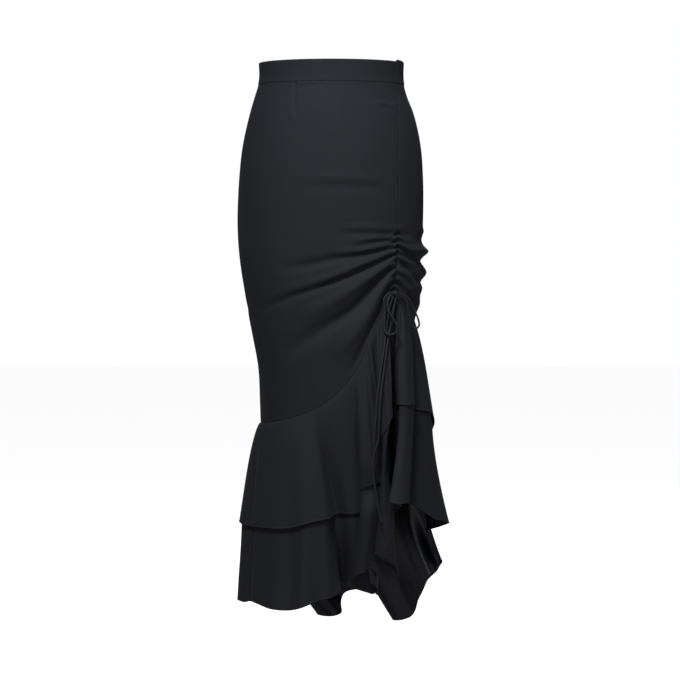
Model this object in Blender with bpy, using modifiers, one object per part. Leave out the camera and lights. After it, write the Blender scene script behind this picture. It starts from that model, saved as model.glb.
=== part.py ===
"""A high-waisted layered maxi skirt, held out by its wearer: a fitted part of four panels under a
waistband, two tiers of flounces, and a drawstring that gathers the seam at the wearer's left front.

Metres, +Z up, +X to the wearer's left, the front faces -Y. The origin is the middle of the waist.
The tables are in millimetres. Angles run round the waist: 0 is the front, 90 is the wearer's left.
"""

import math

import bmesh
import bpy
import numpy as np
from mathutils import Matrix, Vector

MM = 0.001
CLOTH = 1.2  # the wall of one layer of crepe
GAP = 0.3  # between pieces at a seam that runs round
SEAM_HALF = 0.45  # half the gap at a seam that runs down, where the facets of two panels differ
BAND_TOP, BAND_FOOT = 15.5, -24.0
BAND_PROUD = 1.0  # the band stands out from the panels, because it is double cloth
BAND_WALL = 2.2
BAND_STEP = 3.0  # the back band's end is this much higher where it meets the front band
BAND_SEAM = 63.0  # degrees: where the front band meets the back one on the wearer's left
SEAM_DEG = 0.13  # half the gap between two ends of waistband, in degrees
SIDE_SEAM_RIGHT, SIDE_SEAM_LEFT, CENTRE_BACK = -90.0, 90.0, 180.0
GATHER_DEG, GATHER_Z = 44.0, -404.0  # where the gathered seam ends and the flounces begin
FLOUNCE_UNDER = 2.0  # the lower flounce starts this far under the upper one
FOLDED = (11, 30)  # the rows of FLOUNCE_FOLDS between which the flounces fold over themselves
HEM_LIFT, FOLD_LIFT = 5.0, 2.4  # how far the upper hem stands off the lower flounce: there the less
SPRING, FOLD_SPRING = 7.0, 3.6  # how far the upper flounce springs out below its seam
SPRING_EARLY = 0.55  # below 1, it springs out nearer to the seam than to the hem
BRIDGE_STEPS = 2  # how often the lift's directions are evened out round the tightest bends
FLARE = 1.6  # how late the lower flounce flares out below the upper hem
# How far down each row of the flounces' grids lies: 0 is the seam, 1 the upper hem, 2 the lower hem
FRONT_DOWN = (0, 0.15, 0.4, 0.7, 1)
BACK_DOWN = (0, 0.2, 0.55, 1)
PAST_UPPER_HEM = (1.3, 1.65, 2)
SEAM_DROP = 1.1  # from the panels' lower edge to the flounces
HIP_RADIUS = 140.0  # near enough: turns distances round the body to angles and back
SIDE_GAP = 0.014  # of a fold, between the front and back flounces
CORD = 3.6  # the drawstring's diameter
KNOT_HALF = (5.6, 3.4, 5.4)  # half the sizes of the knot, a flat round bead of wound cord
CASING_WALL, CASING_UNDER, CASING_TOP = 1.0, 0.5, -290.0

# The zip's chain, slider, bar and pull tab
ZIP_SLOT = 1.15  # degrees: half the slot in the waistband, where the slider comes through
CHAIN_TOP, CHAIN_END = 3.0, -190.0
CHAIN_HALF, CHAIN_WALL, CHAIN_IN = 2.6, 1.4, 2.2
SLIDER_HALF, SLIDER_DEEP, SLIDER_CLEAR, SLIDER_TOP = 3.2, 2.6, 0.8, 13.0
NECK_HALF, NECK_TALL = 0.7, 1.2
BAR_RADIUS, BAR_HALF, BAR_OUT, BAR_Z = 0.8, 2.4, 2.7, 10.0
PLAY = 0.3  # between the pull tab and the bar and neck
CHEEK = 1.0  # the pull tab's wall round the bar
PULL_LENGTH, PULL_HALF, PULL_WALL = 17.0, 2.4, 1.2

# z, half width to the wearer's right and left, depth of the front and of the back
SECTIONS = (
    (-660, 129, 138, 114, 119),
    (-600, 131, 139, 114, 117),
    (-530, 135, 143, 116, 115),
    (-485, 143, 147, 118, 115),
    (-440, 151.5, 152, 118, 116),
    (-395, 159, 159, 119, 119),
    (-350, 166, 162, 120, 123),
    (-310, 170, 163.5, 120, 126),
    (-270, 171.5, 165.5, 119, 129),
    (-230, 170.5, 166, 118, 131),
    (-180, 167, 164.5, 116, 129),
    (-140, 162.5, 161.5, 113, 124),
    (-105, 156, 155.5, 109, 117),
    (-70, 147.5, 146, 103, 108),
    (-45, 140, 136, 98, 101),
    (-20, 132.5, 129.5, 94, 95),
    (25, 131.5, 130, 92, 92),
)

# angle, z of the seam that joins the flounces to the panels: up to the gathers, and on round the back
SEAM_UP = (
    (-100, -638),
    (-90, -638),
    (-66, -636),
    (-43, -629),
    (-20, -614),
    (-8, -601),
    (3, -582),
    (12, -558),
    (19, -532),
    (26, -494),
    (35, -447),
    (44, -404),
)
SEAM_ROUND = (
    (44, -404),
    (57, -422),
    (70, -442),
    (90, -468),
    (120, -518),
    (150, -584),
    (180, -628),
    (215, -642),
    (245, -640),
    (270, -638),
)

# z, x of the straight seam between the front and side front panels
PRINCESS_SEAM = ((-404, 110.5), (-350, 115), (-290, 118.5), (-150, 119), (-60, 119), (25, 119))

# x, z where a fold starts at the gathers; x, z where it dies out; width; height (below 0: a trough)
DRAG_FOLDS = (
    (114, -291, 14, -291, 6, -1.6),
    (112, -301, 40, -312, 7, 2.2),
    (110, -309, 0, -341, 9, -4.0),
    (112, -320, -20, -366, 9, 3.6),
    (110, -329, -120, -428, 12, -6.6),
    (112, -342, -40, -440, 12, 5.6),
    (106, -372, -92, -512, 15, -8.4),
    (108, -386, 10, -500, 12, 5.4),
    (98, -412, 44, -520, 11, -7.0),
)

# z, how far the side front panel puffs out between the gathers
PUFFS = (
    (-470, 0),
    (-445, 0.5),
    (-420, 3.0),
    (-405, 1.0),
    (-392, 5.0),
    (-379, 2.0),
    (-364, 7.5),
    (-351, 3.5),
    (-338, 0.0),
    (-324, 9.5),
    (-311, 1.5),
    (-300, 0.5),
    (-280, 0),
)

# A row for each bend of the flounces: the angle where it leaves the seam, the point that it passes at
# the upper hem and the point where it ends at the lower hem. Where x runs back, the cloth folds over.
FLOUNCE_FOLDS = (
    (-90, -163, 0, -816, -169, 0, -958),  # wearer's right side seam
    (-75, -152, -44, -818, -154, -48, -958),
    (-61, -134, -78, -816, -134, -77, -950),
    (-48, -110, -105, -816, -117, -112, -957),
    (-36, -81, -126, -815, -88, -139, -958),
    (-25, -53, -137, -809, -56, -149, -953),
    (-16, -29, -140, -801, -27, -148, -941),
    (-9, -10, -130, -796, 1, -132, -933),
    (-3, 2, -106, -793, 20, -94, -930),  # the deep valley
    (2, 17, -116, -790, 33, -86, -923),
    (6, 40, -116, -790, 50, -88, -926),
    (10, 62, -105, -784, 65, -81, -933),
    (13, 76, -94, -775, 76, -66, -939),  # turns back in front of itself
    (15.5, 81, -104, -765, 80, -75, -928),
    (18.5, 52, -127, -746, 36, -107, -897),
    (22, 69, -136, -738, 53, -121, -895),
    (25.5, 85, -122, -732, 68, -112, -887),
    (28.5, 99, -105, -718, 78, -98, -879),  # turns back
    (30.5, 104, -114, -702, 80, -107, -873),
    (33, 90, -129, -655, 75, -118, -862),
    (37, 98, -135, -636, 90, -128, -854),
    (39, 105, -123, -616, 109, -118, -823),
    (41.4, 105, -85, -604, 114, -71, -800),  # turns in, a dark gap
    (46.3, 117, -83, -600, 123, -69, -785),
    (48.6, 119.5, -96, -598, 121, -115, -775),
    (50.6, 121, -106, -597, 100, -142, -764),
    (54, 133, -107, -598, 110, -150, -768),
    (60, 146, -88, -598, 131, -138, -769),
    (66, 140, -69, -606, 142, -86, -775),
    (73, 156, -62, -610, 160, -72, -789),
    (81, 174, -37, -615, 187, -38, -807),
    (90, 181, 0, -629, 212, 0, -818),  # wearer's left side seam
    (101, 181, 46, -652, 201, 34, -829),
    (112, 176, 72, -682, 177, 68, -846),
    (124, 167, 97, -716, 189, 92, -884),
    (136, 151, 118, -752, 200, 118, -915),
    (148, 122, 135, -781, 172, 130, -944),
    (158, 92, 145, -800, 162, 148, -982),
    (166, 62, 149, -812, 152, 172, -1014),  # a flute that hangs lower
    (174, 30, 153, -818, 112, 170, -1022),
    (180, 4, 154, -821, 100, 190, -984),
    (189, -32, 154, -821, 62, 198, -966),
    (198, -66, 148, -816, 24, 192, -974),
    (204, -85, 142, -815, 17, 168, -1010),  # another
    (215, -115, 129, -813, -24, 172, -1012),
    (221, -127, 120, -812, -34, 192, -992),
    (231, -141, 105, -811, -92, 162, -990),
    (243, -152, 81, -811, -131, 119, -983),
    (258, -161, 43, -814, -161, 60, -970),
)

# The drawstring's routes: x, y, z of points along each stretch, from the knot
KNOT = (112.9, -90.5, -400.0)
LOOP_LEFT = (
    (106.9, -92.6, -402.6),
    (101.5, -99.5, -408.5),
    (98.5, -104.5, -420.0),
    (101.0, -107.5, -431.0),
    (106.5, -110.0, -442.0),
    (113.0, -111.0, -452.0),
    (115.5, -111.5, -461.5),
    (111.0, -112.5, -470.0),
    (102.5, -112.5, -472.5),
    (94.5, -111.0, -467.0),
    (92.5, -109.5, -456.0),
    (94.0, -107.0, -440.0),
    (93.5, -106.0, -425.0),
    (92.0, -105.0, -412.0),
    (97.0, -101.0, -402.5),
    (106.6, -93.6, -397.2),
)
LOOP_RIGHT = (
    (119.2, -90.0, -398.6),
    (126.5, -89.0, -402.0),
    (132.5, -87.0, -413.0),
    (135.5, -85.0, -430.0),
    (138.5, -84.0, -446.0),
    (143.0, -83.0, -457.5),
    (149.5, -81.5, -463.0),
    (155.0, -79.0, -458.0),
    (154.0, -76.0, -446.0),
    (148.0, -74.5, -432.0),
    (141.0, -76.0, -417.0),
    (132.5, -79.5, -404.5),
    (124.5, -83.5, -396.5),
    (119.0, -87.5, -394.5),
)
TAIL_LONG = (
    (114.0, -90.7, -406.0),
    (111.0, -93.8, -420.0),
    (107.5, -98.0, -436.0),
    (104.5, -101.0, -455.0),
    (100.5, -106.0, -474.0),
    (98.0, -111.5, -492.0),
    (94.5, -118.0, -516.0),
    (91.0, -124.5, -541.0),
    (87.5, -131.0, -566.0),
    (84.5, -136.5, -592.0),
    (83.5, -139.0, -618.0),
    (82.5, -140.0, -642.0),
    (81.0, -140.5, -660.0),
    (76.0, -141.0, -676.0),
    (73.0, -141.5, -692.0),
    (73.0, -142.0, -712.0),
    (75.5, -142.0, -738.0),
    (79.5, -142.0, -764.0),
    (84.5, -142.0, -790.0),
    (87.5, -142.0, -803.0),
)
TAIL_SHORT = (
    (109.1, -91.0, -404.8),
    (104.0, -96.0, -418.0),
    (100.5, -99.5, -436.0),
    (97.5, -102.5, -456.0),
    (95.0, -106.5, -478.0),
    (91.5, -114.0, -502.0),
    (87.5, -121.5, -528.0),
    (83.5, -128.5, -554.0),
    (80.0, -134.0, -580.0),
    (78.0, -137.5, -606.0),
    (76.5, -139.0, -630.0),
    (74.5, -139.5, -652.0),
    (72.5, -140.0, -668.0),
)


def smooth(knots, values, x):
    """A cubic curve through the values, which are given at rising knots."""
    knots = np.asarray(knots, float)
    values = np.asarray(values, float)
    slope = np.gradient(values, knots, axis=0)
    x = np.clip(np.asarray(x, float), knots[0], knots[-1])
    i = np.clip(np.searchsorted(knots, x, side="right") - 1, 0, len(knots) - 2)
    span = knots[i + 1] - knots[i]
    s = (x - knots[i]) / span
    if values.ndim > 1:
        s, span = s[..., None], span[..., None]
    rise = s * s * (3 - 2 * s)
    bend = s * (1 - s) * span * ((1 - s) * slope[i] - s * slope[i + 1])
    return values[i] + (values[i + 1] - values[i]) * rise + bend


def column(table, x, first=0, last=None):
    """Reads a table's columns at x, which its first column measures."""
    rows = np.array(table, float)
    return smooth(rows[:, first], rows[:, first + 1 :] if last is None else rows[:, last], x)


def bell(x):
    return np.exp(-x * x)


def folds_at(x, z):
    """The height of the drag folds on the front at x, z."""
    height = np.zeros(np.broadcast(x, z).shape)
    for x0, z0, x1, z1, width, high in DRAG_FOLDS:
        dx, dz = x1 - x0, z1 - z0
        along = np.clip(((x - x0) * dx + (z - z0) * dz) / (dx * dx + dz * dz), 0, 1)
        away = np.hypot(x - x0 - along * dx, z - z0 - along * dz)
        spread = width * (0.6 + 0.9 * along)
        height += high * (0.5 + 2.2 * along) * (1 - along**2) * bell(away / spread)
    return height


def body(deg, z, out=0.0):
    """Points of the fitted part's outer face, moved out along its normal."""
    deg, z = np.broadcast_arrays(np.asarray(deg, float), np.asarray(z, float))
    right, left, front, back = np.moveaxis(column(SECTIONS, z), -1, 0)
    sin, cos = np.sin(np.radians(deg)), np.cos(np.radians(deg))
    wide = np.where(sin > 0, left, right)
    deep = np.where(cos > 0, front, back)
    puff = column(PUFFS, z, last=1) * bell((deg - 88) / 34) * np.clip((deg - 40) / 20, 0, 1)
    fold = folds_at(wide * sin, z) * np.clip(cos * 2, 0, 1) * (deg < 100)
    normal = np.stack([sin / wide, -cos / deep, 0 * z], axis=-1)
    normal /= np.linalg.norm(normal, axis=-1, keepdims=True)
    spot = np.stack([wide * sin, -deep * cos, z], axis=-1)
    return spot + normal * (puff + fold + out)[..., None]


def princess_deg(z):
    """The angle of the seam between the front and side front panels."""
    x = column(PRINCESS_SEAM, z, last=1)
    wide = column(SECTIONS, z, last=2)
    return np.where(z <= GATHER_Z, GATHER_DEG, np.degrees(np.arcsin(np.clip(x / wide, 0, 1))))


def seam_z(deg):
    return np.where(deg < GATHER_DEG, column(SEAM_UP, deg, last=1), column(SEAM_ROUND, deg, last=1))


def flounce_knots():
    """The folds all round, with one row before and two after, and the distances between them."""
    rows = np.array(FLOUNCE_FOLDS, float)
    turn = np.array([360.0, 0, 0, 0, 0, 0, 0])
    ring = np.vstack([rows[-1] - turn, rows, rows[:2] + turn])
    step = np.linalg.norm(np.diff(ring[:, 1:], axis=0), axis=1) ** 0.5
    return ring, np.concatenate([[0], np.cumsum(step)])


def flounces(first, last, per_fold, downs):
    """Outer points of both layers of flounce between two rows of the table, a column for each step.
    downs runs from 0 at the seam past 1 at the upper hem to 2 at the lower hem."""
    ring, knots = flounce_knots()
    index = np.arange((last - first) * per_fold + 1) / per_fold + first + 1
    index[0] += SIDE_GAP
    index[-1] -= SIDE_GAP
    at = np.interp(index, np.arange(len(knots)), knots)
    row = smooth(knots, ring, at)
    slope = (seam_z(row[:, 0] + 1) - seam_z(row[:, 0] - 1)) / (2 * math.radians(HIP_RADIUS))
    top = body(row[:, 0], seam_z(row[:, 0]) - SEAM_DROP * np.hypot(1, slope), -FLOUNCE_UNDER)
    return smooth_down(top, row[:, 1:4], row[:, 4:7], np.asarray(downs)[:, None, None])


def smooth_down(top, hem, low, d):
    """Straight from the seam to the upper hem, then flaring on to the lower one."""
    upper = top + (hem - top) * d
    past = np.maximum(d - 1, 0)
    flare = np.concatenate([past**FLARE, past**FLARE, past], axis=-1)
    return np.where(d > 1, hem + (low - hem) * flare, upper)


def outward(points):
    """The outward normals of a grid of points whose rows run down and whose columns run round."""
    down = np.gradient(points, axis=0)
    round_it = np.gradient(points, axis=1)
    normal = np.cross(down, round_it)
    return normal / np.maximum(np.linalg.norm(normal, axis=-1, keepdims=True), 1e-9)


def material(name, colour, roughness, metallic=0.0):
    made = bpy.data.materials.new(name)
    made.use_nodes = True
    shader = made.node_tree.nodes["Principled BSDF"]
    shader.inputs["Base Color"].default_value = (*colour, 1)
    shader.inputs["Roughness"].default_value = roughness
    shader.inputs["Metallic"].default_value = metallic
    return made


def add(name, mesh, finish):
    """A new object of this mesh, in the skirt's collection."""
    made = bpy.data.objects.new(name, mesh)
    mesh.materials.append(finish)
    SKIRT.objects.link(made)
    return made


def cloth(name, points, finish, wall=CLOTH):
    """A wall of cloth whose outer face is a grid of points in millimetres."""
    rows, columns = points.shape[:2]
    faces = [
        (r * columns + c, (r + 1) * columns + c, (r + 1) * columns + c + 1, r * columns + c + 1)
        for r in range(rows - 1)
        for c in range(columns - 1)
    ]
    mesh = bpy.data.meshes.new(name)
    mesh.from_pydata((points.reshape(-1, 3) * MM).tolist(), [], faces)
    mesh.shade_smooth()
    made = add(name, mesh, finish)
    solid = made.modifiers.new("wall", "SOLIDIFY")
    solid.thickness = wall * MM
    solid.offset = -1
    return made


def panel(name, left, right, columns, rows, finish, crowd=1.0, settle=1.0):
    """A panel of the fitted part between two edges, each an angle at a height. Above 1, crowd puts
    its columns closer together towards the right edge; below 1, settle puts its rows lower.
    Returns the points of its outer face."""
    across = 1 - (1 - np.linspace(0, 1, columns + 1)) ** crowd
    down = np.linspace(0, 1, rows + 1)[:, None] ** settle
    foot = GATHER_Z - 1
    low = seam_z(left(foot) + (right(foot) - left(foot)) * across)
    top = BAND_FOOT - GAP
    z = top + (low - top) * down
    inset = np.degrees(SEAM_HALF / HIP_RADIUS)
    deg = left(z) + inset + (right(z) - left(z) - 2 * inset) * across
    points = body(deg, z)
    cloth(name, points, finish)
    return points


def band(name, first, last, columns, finish, step=0.0):
    """A length of waistband. A step raises its first end."""
    deg = np.linspace(first, last, columns + 1)
    up = np.linspace(1, 0, 3)[:, None]
    raised = step * bell((deg - first) / 22)
    z = BAND_FOOT + up * (BAND_TOP + raised - BAND_FOOT)
    return cloth(name, body(deg, z, BAND_PROUD), finish, BAND_WALL)


def cord(name, route, step, finish):
    """A tube along a smooth curve through the route's points."""
    route = np.array(route, float)
    gaps = np.linalg.norm(np.diff(route, axis=0), axis=1)
    along = np.concatenate([[0], np.cumsum(gaps)])
    count = round(along[-1] / step) + 1
    points = smooth(along, route, np.linspace(0, along[-1], count)) * MM
    curve = bpy.data.curves.new(name, "CURVE")
    curve.dimensions = "3D"
    curve.bevel_depth = CORD / 2 * MM
    curve.bevel_resolution = 2
    curve.use_fill_caps = True
    spline = curve.splines.new("POLY")
    spline.points.add(count - 1)
    for spot, place in zip(spline.points, points):
        spot.co = (*place, 1)
    made = bpy.data.objects.new(name, curve)
    curve.materials.append(finish)
    SKIRT.objects.link(made)
    return made


def box(name, low, high, collection):
    """A box between two corners, in millimetres."""
    mesh = bpy.data.meshes.new(name)
    shape = bmesh.new()
    bmesh.ops.create_cube(shape, size=1)
    low, high = np.array(low, float), np.array(high, float)
    for v in shape.verts:
        v.co = Vector(((low + high) / 2 + np.array(v.co) * (high - low)) * MM)
    shape.to_mesh(mesh)
    shape.free()
    made = bpy.data.objects.new(name, mesh)
    collection.objects.link(made)
    return made


def rod(name, centre, length, radius, collection):
    """A round rod along X."""
    mesh = bpy.data.meshes.new(name)
    shape = bmesh.new()
    bmesh.ops.create_cone(
        shape, cap_ends=True, segments=16, radius1=radius * MM, radius2=radius * MM, depth=length * MM
    )
    bmesh.ops.rotate(shape, verts=shape.verts, matrix=ROUND_Y)
    bmesh.ops.translate(shape, verts=shape.verts, vec=Vector(centre) * MM)
    shape.to_mesh(mesh)
    shape.free()
    made = bpy.data.objects.new(name, mesh)
    collection.objects.link(made)
    return made


def combine(target, other, operation):
    other.hide_render = True
    other.display_type = "WIRE"
    change = target.modifiers.new(other.name, "BOOLEAN")
    change.operation = operation
    change.object = other


def collection(name):
    made = bpy.data.collections.new(name)
    bpy.context.scene.collection.children.link(made)
    return made


for old in list(bpy.data.objects):
    bpy.data.objects.remove(old)
SKIRT = collection("layered_maxi_skirt")
CUTTERS = collection("cutters")
BLACK = (0.022, 0.023, 0.027)
CREPE = [material(f"black_crepe_{n}", BLACK, 0.85) for n in range(12)]
ROUND_Y = Matrix.Rotation(math.pi / 2, 3, "Y")


def edge(deg):
    return lambda z: np.full(np.shape(z), deg)


band("waistband_front", SIDE_SEAM_RIGHT + SEAM_DEG, BAND_SEAM - SEAM_DEG, 20, CREPE[0])
band("waistband_back_left", BAND_SEAM + SEAM_DEG, CENTRE_BACK - ZIP_SLOT, 14, CREPE[1], BAND_STEP)
band("waistband_back_right", CENTRE_BACK + ZIP_SLOT, 270 - SEAM_DEG, 12, CREPE[2])

front = panel(
    "front_panel", edge(SIDE_SEAM_RIGHT), princess_deg, 22, 22, CREPE[3], crowd=1.3, settle=0.65
)
side = panel("side_front_panel", princess_deg, edge(SIDE_SEAM_LEFT), 7, 22, CREPE[4], settle=0.65)
panel("back_panel_left", edge(SIDE_SEAM_LEFT), edge(CENTRE_BACK), 10, 14, CREPE[5])
panel("back_panel_right", edge(CENTRE_BACK), edge(270.0), 10, 15, CREPE[6])

SIDE_ROW = next(n for n, row in enumerate(FLOUNCE_FOLDS) if row[0] == SIDE_SEAM_LEFT)
LAST_ROW = len(FLOUNCE_FOLDS)


def lift(points, downs, folded):
    """Moves the lower layer's points out to the upper layer, further at the hem than at the seam,
    and less where the cloth lies folded over itself."""
    less = np.convolve(np.pad(folded * 1.0, 2, mode="edge"), np.full(5, 0.2), mode="valid")
    high = HEM_LIFT + (FOLD_LIFT - HEM_LIFT) * less
    spring = SPRING + (FOLD_SPRING - SPRING) * less
    down = np.asarray(downs)[:, None]
    swell = spring * np.sin(math.pi * down**SPRING_EARLY)
    amount = FLOUNCE_UNDER + (high - FLOUNCE_UNDER) * down + swell
    way = outward(points)
    way[..., 2] *= np.minimum(down * 2, 1)
    for _ in range(BRIDGE_STEPS):
        way[:, 1:-1] = (way[:, :-2] + 2 * way[:, 1:-1] + way[:, 2:]) / 4
    return points + way * amount[..., None]


def tier(name, downs, raised, finish, first, last):
    points = flounces(first, last, 2, downs)
    if raised:
        fold = np.arange(first * 2, last * 2 + 1) / 2
        points = lift(points, downs, (fold > FOLDED[0]) & (fold < FOLDED[1]))
    return cloth(name, points, finish)


tier("upper_flounce_front", FRONT_DOWN, True, CREPE[7], 0, SIDE_ROW)
tier("upper_flounce_back", BACK_DOWN, True, CREPE[8], SIDE_ROW, LAST_ROW)
tier("lower_flounce_front", FRONT_DOWN + PAST_UPPER_HEM, False, CREPE[9], 0, SIDE_ROW)
tier("lower_flounce_back", BACK_DOWN + PAST_UPPER_HEM, False, CREPE[10], SIDE_ROW, LAST_ROW)

# The casing lies inside both panels along the gathered seam, on the columns next to it.
gathered = (front[:, -1, 2] < CASING_TOP) & (front[:, -1, 2] > GATHER_Z)
casing = np.concatenate([front[gathered, -2:], side[gathered, :2]], axis=1)
cloth("drawstring_casing", casing - outward(casing) * (CLOTH + CASING_UNDER), CREPE[11], CASING_WALL)

STRING = material("black_drawstring", BLACK, 0.75)
cord("drawstring_loop_left", LOOP_LEFT, 8, STRING)
cord("drawstring_loop_right", LOOP_RIGHT, 8, STRING)
cord("drawstring_tail_long", TAIL_LONG, 11, STRING)
cord("drawstring_tail_short", TAIL_SHORT, 11, STRING)

knot_mesh = bpy.data.meshes.new("drawstring_knot")
knot_shape = bmesh.new()
bmesh.ops.create_uvsphere(knot_shape, u_segments=14, v_segments=8, radius=1)
for v in knot_shape.verts:
    v.co = (Vector(KNOT) + Vector([v.co[k] * KNOT_HALF[k] for k in range(3)])) * MM
knot_shape.to_mesh(knot_mesh)
knot_shape.free()
knot_mesh.shade_smooth()
add("drawstring_knot", knot_mesh, STRING)

# The zip closes the centre back seam. Its chain lies inside, its slider reaches out through a slot in
# the waistband, and the pull tab hangs on the slider's bar.
METAL = material("black_enamelled_metal", (0.02, 0.02, 0.022), 0.35, 0.9)
TAPE = material("black_zip_chain", (0.02, 0.02, 0.022), 0.6)

chain_z = np.linspace(CHAIN_TOP, CHAIN_END, 15)
chain = np.repeat(body(CENTRE_BACK, chain_z, -CHAIN_IN)[:, None, :], 2, axis=1)
chain[:, :, 0] = (CHAIN_HALF, -CHAIN_HALF)
cloth("zip_chain", chain, TAPE, CHAIN_WALL)

band_out = body(CENTRE_BACK, BAND_TOP, BAND_PROUD)[1]
slider_out = band_out - BAND_WALL - SLIDER_CLEAR
bar = (0.0, band_out + BAR_OUT, BAR_Z)
eye = BAR_RADIUS + PLAY
slider = box(
    "zip_slider",
    (-SLIDER_HALF, slider_out - SLIDER_DEEP, CHAIN_TOP + PLAY),
    (SLIDER_HALF, slider_out, SLIDER_TOP),
    SKIRT,
)
slider.data.materials.append(METAL)
neck = box(
    "slider_neck",
    (-NECK_HALF, slider_out - SLIDER_DEEP / 2, BAR_Z - NECK_TALL),
    (NECK_HALF, bar[1], BAR_Z + NECK_TALL),
    CUTTERS,
)
combine(slider, neck, "UNION")
combine(slider, rod("slider_bar", bar, 2 * BAR_HALF, BAR_RADIUS, CUTTERS), "UNION")

pull = box(
    "zip_pull",
    (-PULL_HALF, bar[1] - PULL_WALL / 2, BAR_Z - PULL_LENGTH),
    (PULL_HALF, bar[1] + PULL_WALL / 2, BAR_Z),
    SKIRT,
)
pull.data.materials.append(METAL)
combine(pull, rod("pull_head", bar, 2 * PULL_HALF, eye + CHEEK, CUTTERS), "UNION")
combine(pull, rod("pull_eye", bar, 3 * PULL_HALF, eye, CUTTERS), "DIFFERENCE")
fork = (NECK_HALF + PLAY, 2 * (eye + CHEEK), eye + CHEEK + PLAY)
notch = box(
    "pull_notch",
    (-fork[0], bar[1] - fork[1], BAR_Z - fork[2]),
    (fork[0], bar[1] + fork[1], BAR_Z + fork[2]),
    CUTTERS,
)
combine(pull, notch, "DIFFERENCE")
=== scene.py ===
import math

import bpy
import numpy as np
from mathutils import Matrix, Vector


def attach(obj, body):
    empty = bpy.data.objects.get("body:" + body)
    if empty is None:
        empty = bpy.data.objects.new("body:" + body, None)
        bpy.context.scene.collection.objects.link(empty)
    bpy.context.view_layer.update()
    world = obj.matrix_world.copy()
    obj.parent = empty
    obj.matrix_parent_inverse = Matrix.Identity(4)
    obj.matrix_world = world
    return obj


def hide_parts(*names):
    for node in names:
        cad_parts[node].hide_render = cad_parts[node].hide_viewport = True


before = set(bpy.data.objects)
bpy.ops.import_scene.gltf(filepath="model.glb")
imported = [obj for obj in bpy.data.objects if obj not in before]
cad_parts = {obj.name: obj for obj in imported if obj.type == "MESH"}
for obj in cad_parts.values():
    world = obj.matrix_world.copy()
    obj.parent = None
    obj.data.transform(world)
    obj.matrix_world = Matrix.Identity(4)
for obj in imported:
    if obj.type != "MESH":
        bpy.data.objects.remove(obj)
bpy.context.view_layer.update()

MM = 0.001


# ---- The studio: a pale paper floor in a white room, softboxes in front, at the side and behind, and
# the camera. The skirt is held at the wearer's waist, 1.12 m above the floor, so its hem hangs clear.
def rgb(code):
    """A hex sRGB colour as linear red, green, blue and alpha."""
    parts = [int(code[i : i + 2], 16) / 255 for i in (1, 3, 5)]
    return (*[p / 12.92 if p <= 0.04045 else ((p + 0.055) / 1.055) ** 2.4 for p in parts], 1.0)


def node(material, kind, links=None, **settings):
    """A node with its settings. links gives an input's name, and the socket or value that feeds it."""
    tree = material.node_tree
    made = tree.nodes.new(kind)
    for key, value in settings.items():
        setattr(made, key, value)
    for key, source in (links or {}).items():
        if isinstance(source, bpy.types.NodeSocket):
            tree.links.new(source, made.inputs[key])
        else:
            made.inputs[key].default_value = source
    return made


FLOOR_Z, FLOOR_RADIUS, FLOOR_SIDES = -1.12, 14.0, 64
disc = bpy.data.meshes.new("studio_floor")
around = [2 * math.pi * k / FLOOR_SIDES for k in range(FLOOR_SIDES)]
disc.from_pydata(
    [(FLOOR_RADIUS * math.cos(a), FLOOR_RADIUS * math.sin(a), FLOOR_Z) for a in around],
    [],
    [tuple(range(FLOOR_SIDES))],
)
floor = bpy.data.objects.new("studio_floor", disc)
bpy.context.scene.collection.objects.link(floor)

# White paper, lit from behind like the screen around it, so that both look white and cast no glare.
paper = bpy.data.materials.new("white_studio_paper")
paper.use_nodes = True
glow = node(paper, "ShaderNodeLightPath").outputs["Is Camera Ray"]
leaf = paper.node_tree.nodes["Principled BSDF"].inputs
leaf["Base Color"].default_value = rgb("#9d9da0")
leaf["Roughness"].default_value = 0.9
leaf["Specular IOR Level"].default_value = 0.1
leaf["Emission Color"].default_value = rgb("#f8f8f9")
paper.node_tree.links.new(glow, leaf["Emission Strength"])
disc.materials.append(paper)

studio = bpy.data.worlds.new("soft_studio")
studio.use_nodes = True
sky = studio.node_tree.nodes["Background"].inputs
sky["Color"].default_value = rgb("#f6f7fa")
# The room looks white, and gives the cloth only a little light, so that its folds keep their shade.
ROOM_LIGHT, ROOM_WHITE = 0.08, 1.1
in_sight = node(studio, "ShaderNodeLightPath").outputs["Is Camera Ray"]
shine = node(
    studio,
    "ShaderNodeMapRange",
    {"Value": in_sight, "To Min": ROOM_LIGHT, "To Max": ROOM_WHITE},
)
studio.node_tree.links.new(shine.outputs["Result"], sky["Strength"])
bpy.context.scene.world = studio
bpy.context.scene.view_settings.view_transform = "Standard"

# place, the point that it faces, width (m), power (W)
SOFTBOXES = {
    "key_softbox": ((-0.3, -1.5, 1.5), (0, 0, -0.05), 0.5, 60),
    "fill_softbox": ((1.6, -1.7, 1.3), (0.1, 0, 0), 0.7, 15),
    "low_softbox": ((-0.3, -2.2, -0.75), (0.17, 0.1, -0.87), 0.4, 3.5),
    "back_softbox": ((0.1, 2.3, 1.3), (0, 0, -0.35), 0.9, 60),
}
for name, (place, aim, width, power) in SOFTBOXES.items():
    lamp = bpy.data.lights.new(name, "AREA")
    lamp.energy = power
    lamp.size = width
    stand = bpy.data.objects.new(name, lamp)
    stand.location = place
    stand.rotation_euler = (Vector(aim) - Vector(place)).to_track_quat("-Z", "Y").to_euler()
    bpy.context.scene.collection.objects.link(stand)

# The camera looks at the middle of the skirt from in front, a little from above.
AIM = Vector((0.0145, 0, -0.4855))
DISTANCE, LOOK_DOWN = 4.0, math.radians(1.8)
eye = bpy.data.cameras.new("camera")
eye.lens = 116.5
eye.sensor_width = 36
camera = bpy.data.objects.new("camera", eye)
camera.location = AIM + Vector((0, -math.cos(LOOK_DOWN), math.sin(LOOK_DOWN))) * DISTANCE
camera.rotation_euler = (AIM - camera.location).to_track_quat("-Z", "Y").to_euler()
bpy.context.scene.collection.objects.link(camera)
bpy.context.scene.camera = camera


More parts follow.
